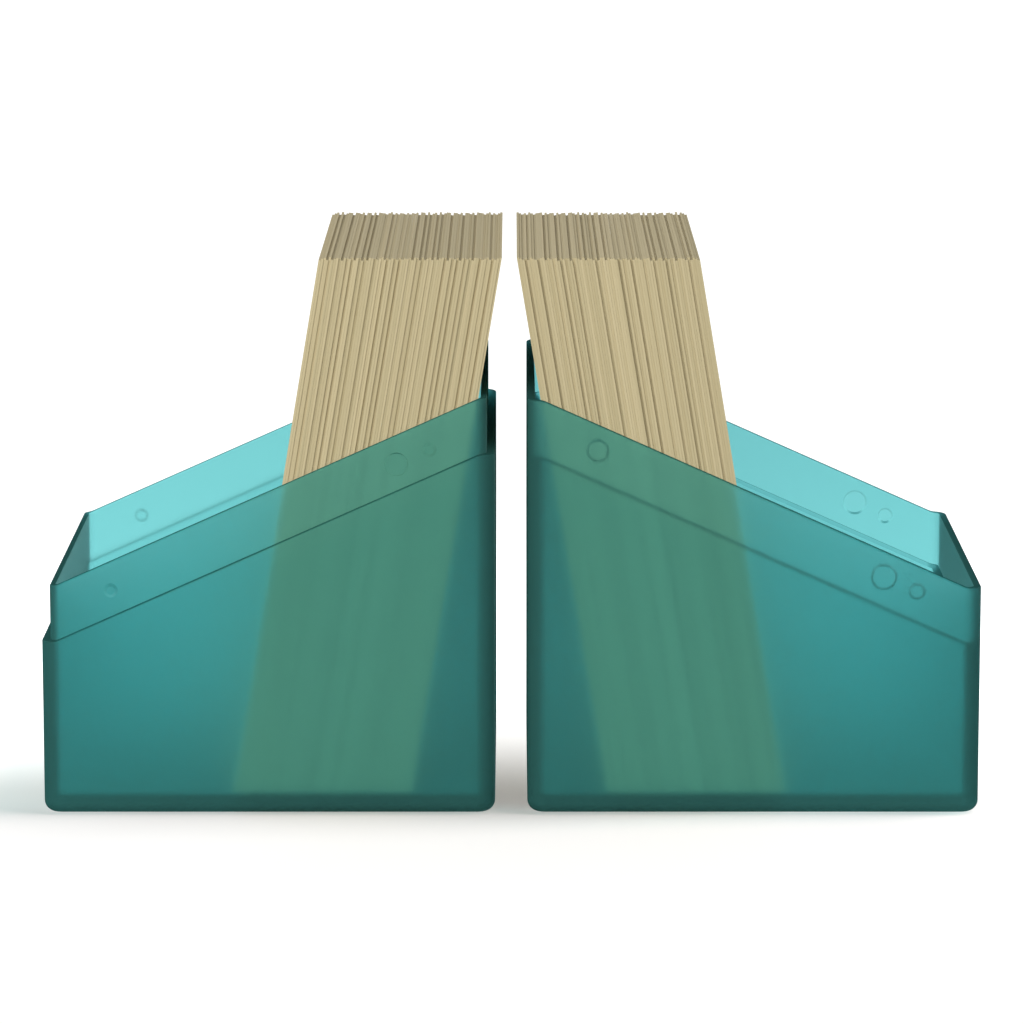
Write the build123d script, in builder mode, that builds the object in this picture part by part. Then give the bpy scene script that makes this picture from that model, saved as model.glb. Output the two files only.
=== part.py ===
from build123d import *
import os
from math import cos, radians, sin, tan

# Two-part card box, open, with its two halves standing side by side on a table.
# The base half has a collar, the cover half has a recessed lip that slides over it,
# and the split between them slopes from a tall end wall down to a short one.
# A leaning deck of sleeved cards stands in each half. Sizes are in millimetres, the
# origin is on the table midway between the halves, and the front walls face -Y.

os.makedirs("parts", exist_ok=True)

# Sleeved cards
card_width = 66.0
card_height = 92.0
card_thickness = 0.40
card_air = 0.01  # between neighbouring cards
packet_pattern = (3, 2, 3, 4, 2)  # cards that lie flush with one another, in turn
packets_per_deck = 26
packet_stagger = 0.5  # spread from front to back of the packets
card_stagger = 0.14  # spread from front to back of the cards in a packet
packet_recess = 0.3  # how far the first card of a packet stands back
packet_dip = 0.3  # how much shorter the last card of a packet is
card_trim = 0.24  # spread of the cards' heights
lean_angle = 9.5  # from the vertical, towards the tall wall
base_lean_gap = 0.3  # from the rear card to the collar's rim
cover_lean_gap = 0.8  # from the rear card to the lip's rim
seat_gap = 0.05  # from the cards' lowest edges to the floor

# Box, closed: the cards size its cavity
side_clearance = 2.1  # each side of a card
head_clearance = 2.3  # above a card when the box is closed
cavity_width = 71.1  # room for two decks, one behind the other
wall = 2.4
floor = 2.7
corner_radius = 3.0  # upright edges, outside
foot_radius = 1.9  # edges round the underside
cavity_corner_radius = 0.9
cavity_floor_radius = 0.8
half_spacing = 5.4  # between the two halves on the table

# Sloping split, collar and lip
shoulder_low = 29.5  # shoulder at the base's short wall
split_rise = 31.6  # from the short wall up to the tall one
split_level = 2.5  # level run over each end wall
split_blend = 3.0  # radius where the slope meets the level runs
collar_height = 9.3
collar_thickness = 1.0
fit_clearance = 0.1  # between the collar and the lip round it
ledge_clearance = 0.2  # between the collar's rim and the ledge over it
ledge_chamfer = 0.6
rim_radius = 0.3

# Snap detents on the front and back walls. When the box is closed, each nub or pad
# on the collar sits in its pocket in the lip, at a distance from the end where the
# base's short wall meets the cover's tall wall.
detent_height = 4.4  # from the split line
nub_radius = 1.2
nub_height = 0.35
nub_taper = 55.0
lock_distance = 11.7
lock_pocket_radius = 1.9
guide_distance = 65.0
guide_pocket_radius = 1.4
pad_distance = 59.5
pad_radius = 2.0
pad_height = 0.2
pad_pocket_radius = 2.2
pocket_depth = 0.4
ring_taper = 40.0  # sides of the pads and pockets

# Derived sizes
box_width = cavity_width + 2 * wall
cavity_depth = card_width + 2 * side_clearance
box_depth = cavity_depth + 2 * wall
closed_height = card_height + head_clearance + 2 * floor
collar_inset = wall - collar_thickness
lip = collar_inset - fit_clearance
ledge_drop = collar_height + ledge_clearance
collar_low = shoulder_low + collar_height
cover_low = closed_height - shoulder_low - split_rise
ledge_low = cover_low - ledge_drop
half_middle = (half_spacing + box_width) / 2
lean = radians(lean_angle)
card_pitch = card_thickness + card_air
golden = 0.6180339887  # its multiples spread cards evenly and in no plain order


def split_height(low, middle, tall_side, x):
    """Height at `x` of a split line that is `low` at the short wall."""
    short_end = middle - tall_side * box_width / 2
    run = tall_side * (x - short_end) - split_level
    return low + split_rise * min(max(run / (box_width - 2 * split_level), 0), 1)


def block_below_split(middle, tall_side, inset, low, bottom, radius):
    """Block in from the box's sides by `inset`, from `bottom` up to a split line.

    `tall_side` is 1 for a half whose tall wall faces +X, and -1 for -X.
    """
    short_end = middle - tall_side * box_width / 2
    slope_start = short_end + tall_side * split_level
    slope_end = short_end + tall_side * (box_width - split_level)
    tall_end = short_end + tall_side * box_width
    high = low + split_rise
    with BuildPart() as block:
        with BuildSketch(Plane.XY.offset(bottom)):
            with Locations((middle, 0)):
                RectangleRounded(box_width - 2 * inset, box_depth - 2 * inset, radius)
        extrude(amount=high - bottom)
        with BuildSketch(Plane.XZ):
            with BuildLine():
                FilletPolyline(
                    (short_end, low),
                    (slope_start, low),
                    (slope_end, high),
                    (tall_end, high),
                    radius=split_blend,
                )
                Polyline((tall_end, high), (tall_end, 0), (short_end, 0), (short_end, low))
            make_face()
        extrude(amount=box_depth, both=True, mode=Mode.INTERSECT)
    return block.part


def cavity(middle):
    """Room inside one half, from its floor up past the mouth."""
    with BuildPart() as hollow:
        with BuildSketch(Plane.XY.offset(floor)):
            with Locations((middle, 0)):
                RectangleRounded(cavity_width, cavity_depth, cavity_corner_radius)
        extrude(amount=closed_height)
        fillet(hollow.edges().group_by(Axis.Z)[0], cavity_floor_radius)
    return hollow.part


def split_edges(part, low, middle, tall_side):
    """Edges between the walls and the surface that follows a split line."""

    def on_split(face):
        centre = face.center()
        height = split_height(low, middle, tall_side, centre.X)
        return face.normal_at().Z > 0.5 and abs(centre.Z - height) < rim_radius

    edges = [edge for face in part.faces().filter_by(on_split) for edge in face.edges()]
    return ShapeList(edge for edge in edges if edges.count(edge) == 1)


def inner_edges(edges, middle):
    """Those of the edges that lie on the outline of a half's cavity."""

    def on_cavity(edge):
        box = edge.bounding_box()
        reach_x = max(box.max.X - middle, middle - box.min.X)
        reach_y = max(box.max.Y, -box.min.Y)
        return reach_x < (cavity_width + lip) / 2 and reach_y < (cavity_depth + lip) / 2

    return edges.filter_by(on_cavity)


def detent_spots(middle, split_low, tall_side, above):
    """Front view places of a half's lock, guide and pad, `above` its split line."""
    for distance in (lock_distance, guide_distance, pad_distance):
        x = middle - box_width / 2 + distance
        yield x, split_height(split_low, middle, tall_side, x) + above


# Base half: its tall wall faces +X
base_middle = -half_middle
base_body = block_below_split(base_middle, 1, 0, shoulder_low, 0, corner_radius)
base_collar = block_below_split(
    base_middle, 1, collar_inset, collar_low, floor, corner_radius - collar_inset
)
base_cavity = cavity(base_middle)
collar_face = box_depth / 2 - collar_inset

with BuildPart() as base_shell:
    add(base_body)
    fillet(base_shell.edges().group_by(Axis.Z)[0], foot_radius)
    fillet(split_edges(base_shell.part, shoulder_low, base_middle, 1), rim_radius)
    add(base_collar)
    add(base_cavity, mode=Mode.SUBTRACT)
    fillet(split_edges(base_shell.part, collar_low, base_middle, 1), rim_radius)
    lock, guide, pad = detent_spots(base_middle, shoulder_low, 1, detent_height)
    for side in (-1, 1):
        for x, z in (lock, guide):
            with BuildSketch(Plane((x, side * collar_face, z), z_dir=(0, side, 0))):
                Circle(nub_radius)
            extrude(amount=nub_height, taper=nub_taper)
        with BuildSketch(Plane((pad[0], side * collar_face, pad[1]), z_dir=(0, side, 0))):
            Circle(pad_radius)
        extrude(amount=pad_height, taper=ring_taper)
base_shell.part.label = "base_shell"
export_step(base_shell.part, "parts/base_shell.step")


# Cover half: its tall wall faces -X, and a step inside its mouth leaves the thin lip
cover_middle = half_middle
cover_body = block_below_split(cover_middle, -1, 0, cover_low, 0, corner_radius)
cover_cavity = cavity(cover_middle)
cover_below_ledge = block_below_split(
    cover_middle, -1, lip, ledge_low, 0, corner_radius - lip
)
lip_face = box_depth / 2 - lip

with BuildPart() as lip_recess:
    with BuildSketch():
        with Locations((cover_middle, 0)):
            RectangleRounded(box_width - 2 * lip, box_depth - 2 * lip, corner_radius - lip)
    extrude(amount=closed_height)
    add(cover_below_ledge, mode=Mode.SUBTRACT)

with BuildPart() as cover_shell:
    add(cover_body)
    fillet(cover_shell.edges().group_by(Axis.Z)[0], foot_radius)
    add(cover_cavity, mode=Mode.SUBTRACT)
    add(lip_recess.part, mode=Mode.SUBTRACT)
    ledge_edges = split_edges(cover_shell.part, ledge_low, cover_middle, -1)
    chamfer(inner_edges(ledge_edges, cover_middle), ledge_chamfer)
    fillet(split_edges(cover_shell.part, cover_low, cover_middle, -1), rim_radius)
    lock, guide, pad = detent_spots(cover_middle, cover_low, -1, -detent_height)
    pockets = (
        (lock, lock_pocket_radius),
        (guide, guide_pocket_radius),
        (pad, pad_pocket_radius),
    )
    for side in (-1, 1):
        for (x, z), pocket_radius in pockets:
            with BuildSketch(Plane((x, side * lip_face, z), z_dir=(0, side, 0))):
                Circle(pocket_radius)
            extrude(amount=pocket_depth, taper=ring_taper, mode=Mode.SUBTRACT)
cover_shell.part.label = "cover_shell"
export_step(cover_shell.part, "parts/cover_shell.step")


def deal_deck(name, tall_side, rim_x, rim_height, lean_gap):
    """Stand a deck of cards in a half, leaning on the inner edge of its tall wall's rim.

    Each packet of cards that lie flush with one another is one node.
    """
    card_foot = floor + seat_gap
    rear_foot = rim_x - tall_side * (lean_gap / cos(lean) + (rim_height - card_foot) * tan(lean))
    dealt = 0
    for packet in range(packets_per_deck):
        cards = packet_pattern[packet % len(packet_pattern)]
        packet_shift = packet_stagger * ((packet * golden) % 1 - 0.5)
        with BuildPart() as card_packet:
            for card in range(dealt, dealt + cards):
                spread = (card * golden) % 1
                set_back = packet_shift + card_stagger * (spread - 0.5)
                if card == dealt:
                    set_back = set_back + packet_recess
                foot_x = rear_foot - tall_side * card * card_pitch / cos(lean)
                card_plane = Plane(
                    (foot_x, set_back, card_foot),
                    x_dir=(0, -tall_side, 0),
                    z_dir=(-tall_side * cos(lean), 0, sin(lean)),
                )
                height = card_height - card_trim * spread
                if card == dealt + cards - 1:
                    height = height - packet_dip
                with BuildSketch(card_plane):
                    Rectangle(card_width, height, align=(Align.CENTER, Align.MIN))
                extrude(amount=card_thickness)
        card_packet.part.label = f"{name}_cards_{packet + 1:02d}"
        export_step(card_packet.part, f"parts/{card_packet.part.label}.step")
        dealt = dealt + cards
    print(name, "deck:", dealt, "cards")


deal_deck("base", 1, base_middle + cavity_width / 2, collar_low + split_rise, base_lean_gap)
deal_deck("cover", -1, cover_middle - box_width / 2 + lip, cover_low + split_rise, cover_lean_gap)
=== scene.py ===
import bpy
import math
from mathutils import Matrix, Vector

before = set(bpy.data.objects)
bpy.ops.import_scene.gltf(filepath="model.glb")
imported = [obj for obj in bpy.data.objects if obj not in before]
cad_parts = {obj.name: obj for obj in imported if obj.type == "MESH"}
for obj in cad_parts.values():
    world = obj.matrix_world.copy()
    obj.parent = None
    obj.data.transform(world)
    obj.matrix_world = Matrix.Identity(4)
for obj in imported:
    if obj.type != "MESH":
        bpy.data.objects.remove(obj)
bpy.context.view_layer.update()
print("frame loaded:", len(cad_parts), "nodes")

scene = bpy.context.scene
scene.view_settings.view_transform = "Standard"
white = (1, 1, 1, 1)
shellNames = ["base_shell", "cover_shell"]
deckNames = {
    half: sorted(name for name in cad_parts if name.startswith(half + "_cards"))
    for half in ("base", "cover")
}


# Node helpers
def addNode(tree, kind, **settings):
    node = tree.nodes.new("ShaderNode" + kind)
    for name, value in settings.items():
        setattr(node, name, value)
    return node


def feed(tree, source, socket):
    if isinstance(source, bpy.types.NodeSocket):
        tree.links.new(source, socket)
    else:
        socket.default_value = source  # a plain number or colour


def doMath(tree, operation, *values):
    node = addNode(tree, "Math", operation=operation)
    for value, socket in zip(values, node.inputs):
        feed(tree, value, socket)
    return node.outputs[0]


def splitXYZ(tree, vector):
    node = addNode(tree, "SeparateXYZ")
    feed(tree, vector, node.inputs["Vector"])
    return node.outputs


def remap(tree, value, fromRange=(0, 1), toRange=(0, 1), curve="LINEAR"):
    node = addNode(tree, "MapRange", interpolation_type=curve)
    socketNames = ("Value", "From Min", "From Max", "To Min", "To Max")
    for socketName, source in zip(socketNames, (value, *fromRange, *toRange)):
        feed(tree, source, node.inputs[socketName])
    return node.outputs["Result"]


def addNoise(tree, place, scale, detail, dimensions="3D"):
    node = addNode(tree, "TexNoise", noise_dimensions=dimensions)
    feed(tree, place, node.inputs["W" if dimensions == "1D" else "Vector"])
    feed(tree, scale, node.inputs["Scale"])
    feed(tree, detail, node.inputs["Detail"])
    return node.outputs["Fac"]


def addBump(tree, height, depth):
    node = addNode(tree, "Bump")
    feed(tree, height, node.inputs["Height"])
    feed(tree, depth, node.inputs["Distance"])
    return node.outputs["Normal"]


def mixColours(tree, share, first, second):
    node = addNode(tree, "Mix", data_type="RGBA")
    feed(tree, share, node.inputs["Factor"])
    feed(tree, first, node.inputs[6])  # 6 and 7 are A and B for colours, and 2 is their result
    feed(tree, second, node.inputs[7])
    return node.outputs[2]


def mixShaders(tree, share, first, second):
    node = addNode(tree, "MixShader")
    for source, socket in zip((share, first, second), node.inputs):
        feed(tree, source, socket)
    return node.outputs["Shader"]


def startMaterial(name):
    material = bpy.data.materials.new(name)
    material.use_nodes = True
    tree = material.node_tree
    return material, tree, tree.nodes["Principled BSDF"]


def startGroup(name, inputs, outputs):
    group = bpy.data.node_groups.new(name, "ShaderNodeTree")
    for socketName in inputs:
        group.interface.new_socket(socketName, in_out="INPUT", socket_type="NodeSocketFloat")
    for socketName in outputs:
        group.interface.new_socket(socketName, in_out="OUTPUT", socket_type="NodeSocketFloat")
    return group, group.nodes.new("NodeGroupInput"), group.nodes.new("NodeGroupOutput")


def placeGroup(tree, group, **values):
    node = addNode(tree, "Group", node_tree=group)
    for socketName, value in values.items():
        feed(tree, value, node.inputs[socketName])
    return node


def dress(names, material):
    for name in names:
        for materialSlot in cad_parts[name].material_slots:
            materialSlot.material = material


# Camera, level from left to right, at the photograph's distance and tilt
viewPoint = {
    "place": (0.00013, -0.8626, 0.196),
    "tiltDown": 9.932,  # degrees
    "focalPixels": 5039,
    "pixelsWide": 1024,
    "sensorWidth": 36.0,
}


def makeCamera(look):
    data = bpy.data.cameras.new("camera")
    data.sensor_width = look["sensorWidth"]
    data.lens = look["focalPixels"] / look["pixelsWide"] * look["sensorWidth"]
    camera = bpy.data.objects.new("camera", data)
    camera.location = look["place"]
    camera.rotation_euler = (math.radians(90 - look["tiltDown"]), 0, 0)
    scene.collection.objects.link(camera)
    scene.camera = camera


makeCamera(viewPoint)
print("camera placed")

# Soft clouds and fine specks in the plastic, both about 0.5
mottleLook = {"cloudsPerMetre": 45, "cloudDetail": 2.0, "specksPerMetre": 5200, "speckDetail": 0.0}


def makeMottle(look):
    group, _, groupOut = startGroup("mottle", [], ["Cloud", "Speck"])
    place = addNode(group, "TexCoord").outputs["Object"]
    cloud = addNoise(group, place, look["cloudsPerMetre"], look["cloudDetail"])
    feed(group, cloud, groupOut.inputs["Cloud"])
    speck = addNoise(group, place, look["specksPerMetre"], look["speckDetail"])
    feed(group, speck, groupOut.inputs["Speck"])
    return group


mottle = makeMottle(mottleLook)

# Frosted teal plastic of both halves
plasticLook = {
    "tint": (0.24, 0.672, 0.70, 1),  # what a wall lets through
    "tintDeep": (0.23, 0.657, 0.685, 1),
    "facesCrossed": 2,  # on the way through a wall
    "milk": (0.25, 0.93, 0.84, 1),
    "milkShare": 0.08,
    "roughLow": 0.59,
    "roughHigh": 0.67,
    "bendsLight": 1.45,
    # painted shade: a dark tone laid on the upward faces of rims and shoulders
    "paintedRimShade": (0.12, 0.31, 0.33, 1),
    "paintedShadeFacesUp": (0.5, 0.85),  # upward share of a face's direction, from none to all of the painted shade
    "paintedShadeAbove": 0.02,  # the halves' inner floors lie lower and get no painted shade
    "soak": (0.05, 0.60, 0.62, 1),  # colour that long ways through the plastic tend to
    "soakPerMetre": 180,
    "lampsThrough": (1.0, 0.95, 0.93, 1),  # per face, for rays that go to a lamp
    "grainDepth": 0.000004,
}


def maskPaintedRimShade(tree, look):
    # 1 on the upward faces of rims and shoulders, where shade is painted, 0 elsewhere
    around = addNode(tree, "TexCoord")
    facing = splitXYZ(tree, around.outputs["Normal"])
    spot = splitXYZ(tree, around.outputs["Object"])
    upward = remap(tree, facing["Z"], look["paintedShadeFacesUp"], curve="SMOOTHSTEP")
    aboveFloor = doMath(tree, "GREATER_THAN", spot["Z"], look["paintedShadeAbove"])
    return doMath(tree, "MULTIPLY", upward, aboveFloor)


def makePlastic(look):
    material, tree, milk = startMaterial("frostedTeal")
    output = tree.nodes["Material Output"]
    spots = placeGroup(tree, mottle)
    tint = mixColours(tree, spots.outputs["Cloud"], look["tint"], look["tintDeep"])
    perFace = addNode(tree, "Gamma")
    feed(tree, tint, perFace.inputs["Color"])
    feed(tree, 1 / look["facesCrossed"], perFace.inputs["Gamma"])
    # painted shade: rims and shoulders get a darker tint, standing in for the light that enters
    # them and is led down the wall
    crossingWithPaintedShade = mixColours(tree, maskPaintedRimShade(tree, look), perFace.outputs["Color"], look["paintedRimShade"])
    rough = remap(tree, spots.outputs["Speck"], toRange=(look["roughLow"], look["roughHigh"]))
    grain = addBump(tree, spots.outputs["Speck"], look["grainDepth"])
    frosted = addNode(tree, "BsdfRefraction", distribution="GGX")
    feed(tree, crossingWithPaintedShade, frosted.inputs["Color"])
    feed(tree, rough, frosted.inputs["Roughness"])
    feed(tree, grain, frosted.inputs["Normal"])
    frosted.inputs["IOR"].default_value = look["bendsLight"]
    milk.inputs["Base Color"].default_value = look["milk"]
    milk.inputs["Roughness"].default_value = look["roughHigh"]
    milk.inputs["Specular IOR Level"].default_value = 0.0
    body = mixShaders(tree, look["milkShare"], frosted.outputs["BSDF"], milk.outputs["BSDF"])
    soak = addNode(tree, "VolumeAbsorption")
    soak.inputs["Color"].default_value = look["soak"]
    soak.inputs["Density"].default_value = look["soakPerMetre"]
    feed(tree, soak.outputs["Volume"], output.inputs["Volume"])
    # lamps shine through the frosted walls onto the cards and the floor
    clear = addNode(tree, "BsdfTransparent")
    clear.inputs["Color"].default_value = look["lampsThrough"]
    toLamp = addNode(tree, "LightPath").outputs["Is Shadow Ray"]
    surface = mixShaders(tree, toLamp, body, clear.outputs["BSDF"])
    feed(tree, surface, output.inputs["Surface"])
    return material


dress(shellNames, makePlastic(plasticLook))
for name in shellNames:
    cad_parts[name].visible_diffuse = False  # casts no coloured light, only shadow
print("plastic done")

# Sleeved cards: every card has its own tone, and fibres run along its edge
cardLook = {
    "pale": (0.54, 0.458, 0.268, 1),
    "dull": (0.42, 0.358, 0.20, 1),
    "spacing": 0.000416,  # from card to card along X
    "lean": 9.5,  # degrees
    "cardToCard": 0.55,  # share of the tone that changes with every card
    "driftPerCard": 0.21,  # the rest changes slowly from card to card
    "driftDetail": 1.0,
    "streaksPerMetre": 300,
    "streakScale": 2.0,
    "streakDetail": 2.0,
    "streakContrast": 0.2,
    "roughness": 0.72,
    "fibreDepth": 0.00003,
}


def makeCardTone(look):
    group, groupIn, groupOut = startGroup("cardTone", ["Slope", "Spacing"], ["Tone", "Fibre"])
    place = splitXYZ(group, addNode(group, "TexCoord").outputs["Object"])
    leanX = doMath(group, "MULTIPLY", place["Z"], groupIn.outputs["Slope"])
    footX = doMath(group, "SUBTRACT", place["X"], leanX)
    across = doMath(group, "DIVIDE", footX, groupIn.outputs["Spacing"])  # in cards
    oneCard = addNode(group, "TexWhiteNoise", noise_dimensions="1D")
    feed(group, doMath(group, "FLOOR", across), oneCard.inputs["W"])
    drift = addNoise(group, across, look["driftPerCard"], look["driftDetail"], "1D")
    slow = doMath(group, "MULTIPLY", drift, 1 - look["cardToCard"])
    tone = doMath(group, "MULTIPLY_ADD", oneCard.outputs["Value"], look["cardToCard"], slow)
    feed(group, tone, groupOut.inputs["Tone"])
    streakPlace = addNode(group, "CombineXYZ")
    feed(group, across, streakPlace.inputs["X"])
    for axis in ("Y", "Z"):
        along = doMath(group, "MULTIPLY", place[axis], look["streaksPerMetre"])
        feed(group, along, streakPlace.inputs[axis])
    streakVector = streakPlace.outputs["Vector"]
    streaks = addNoise(group, streakVector, look["streakScale"], look["streakDetail"])
    feed(group, streaks, groupOut.inputs["Fibre"])
    return group


cardTone = makeCardTone(cardLook)


def makeCardStock(name, look, towardsX):
    material, tree, stock = startMaterial(name)
    slope = towardsX * math.tan(math.radians(look["lean"]))
    marks = placeGroup(tree, cardTone, Slope=slope, Spacing=look["spacing"])
    contrast = look["streakContrast"]
    streak = doMath(tree, "MULTIPLY_ADD", marks.outputs["Fibre"], contrast, -contrast / 2)
    tone = doMath(tree, "ADD", marks.outputs["Tone"], streak)
    feed(tree, mixColours(tree, tone, look["dull"], look["pale"]), stock.inputs["Base Color"])
    stock.inputs["Roughness"].default_value = look["roughness"]
    fibres = addBump(tree, marks.outputs["Fibre"], look["fibreDepth"])
    feed(tree, fibres, stock.inputs["Normal"])
    return material


dress(deckNames["base"], makeCardStock("baseCardStock", cardLook, 1))
dress(deckNames["cover"], makeCardStock("coverCardStock", cardLook, -1))
print("cards done")


def shownStraight(tree):
    # 1 where the camera sees a thing directly, in a reflection or through plastic
    path = addNode(tree, "LightPath")
    direct = doMath(tree, "MAXIMUM", path.outputs["Is Camera Ray"], path.outputs["Is Glossy Ray"])
    return doMath(tree, "MAXIMUM", direct, path.outputs["Is Transmission Ray"])


# White background, which gives less light than it shows
skyLook = {"colour": white, "strengthAsLight": 0.45, "strengthShown": 1.0}


def makeSky(look):
    world = bpy.data.worlds.new("sky")
    world.use_nodes = True
    scene.world = world
    tree = world.node_tree
    sky = tree.nodes["Background"]
    sky.inputs["Color"].default_value = look["colour"]
    strengths = (look["strengthAsLight"], look["strengthShown"])
    strength = remap(tree, shownStraight(tree), toRange=strengths)
    feed(tree, strength, sky.inputs["Strength"])


makeSky(skyLook)

# White floor, just under the part's feet
floorLook = {
    "halfSize": 4.0,
    "drop": 0.0002,
    "colour": (0.86, 0.86, 0.86, 1),
    "roughness": 0.9,
    "glow": white,  # only where the floor is seen, so it lights nothing
    "glowInFront": 0.15,
    "paintedLightSteps": ((-0.03, 0.036, 0.75), (0.12, 0.30, -0.60)),  # from Y, to Y, change in painted light
}


def makeFloor(look):
    half = look["halfSize"]
    mesh = bpy.data.meshes.new("floor")
    corners = [(x * half, y * half, 0) for x, y in ((-1, -1), (1, -1), (1, 1), (-1, 1))]
    mesh.from_pydata(corners, [], [(0, 1, 2, 3)])
    floor = bpy.data.objects.new("floor", mesh)
    floor.location.z = -look["drop"]
    scene.collection.objects.link(floor)
    material, tree, paint = startMaterial("floorPaint")
    paint.inputs["Base Color"].default_value = look["colour"]
    paint.inputs["Roughness"].default_value = look["roughness"]
    paint.inputs["Specular IOR Level"].default_value = 0.0
    paint.inputs["Emission Color"].default_value = look["glow"]
    place = splitXYZ(tree, addNode(tree, "TexCoord").outputs["Object"])
    # painted light: the glow grows from the part's front to its back and falls again further
    # behind, lightening the shadow on the floor there and between the halves
    glow = look["glowInFront"]
    for start, end, change in look["paintedLightSteps"]:
        step = remap(tree, place["Y"], (start, end), (0, change), "SMOOTHSTEP")
        glow = doMath(tree, "ADD", glow, step)
    shown = doMath(tree, "MULTIPLY", shownStraight(tree), glow)
    feed(tree, shown, paint.inputs["Emission Strength"])
    mesh.materials.append(material)
    return floor


floor = makeFloor(floorLook)
print("floor and background done")

# Soft lamps: one in front for the part, one from above for the floor and the shadow on it
lampLooks = {
    "frontLamp": {"kind": "AREA", "from": (-0.45, -1.05, 0.70), "energy": 11.0, "size": 0.8},
    "floorSun": {"kind": "SUN", "from": (0.47, 0.02, 0.9), "energy": 2.05, "degreesWide": 25},
}


def makeLamp(name, look, lights):
    data = bpy.data.lights.new(name, look["kind"])
    data.energy = look["energy"]
    if look["kind"] == "SUN":
        data.angle = math.radians(look["degreesWide"])
    else:
        data.size = look["size"]
    lamp = bpy.data.objects.new(name, data)
    lamp.location = look["from"]
    lamp.rotation_euler = (-Vector(look["from"])).to_track_quat("-Z", "Y").to_euler()
    scene.collection.objects.link(lamp)
    lit = bpy.data.collections.new(name + "Lights")  # the lamp lights nothing else
    for thing in lights:
        lit.objects.link(thing)
    lamp.light_linking.receiver_collection = lit


makeLamp("frontLamp", lampLooks["frontLamp"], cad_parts.values())
makeLamp("floorSun", lampLooks["floorSun"], [floor])
print("lamps done")
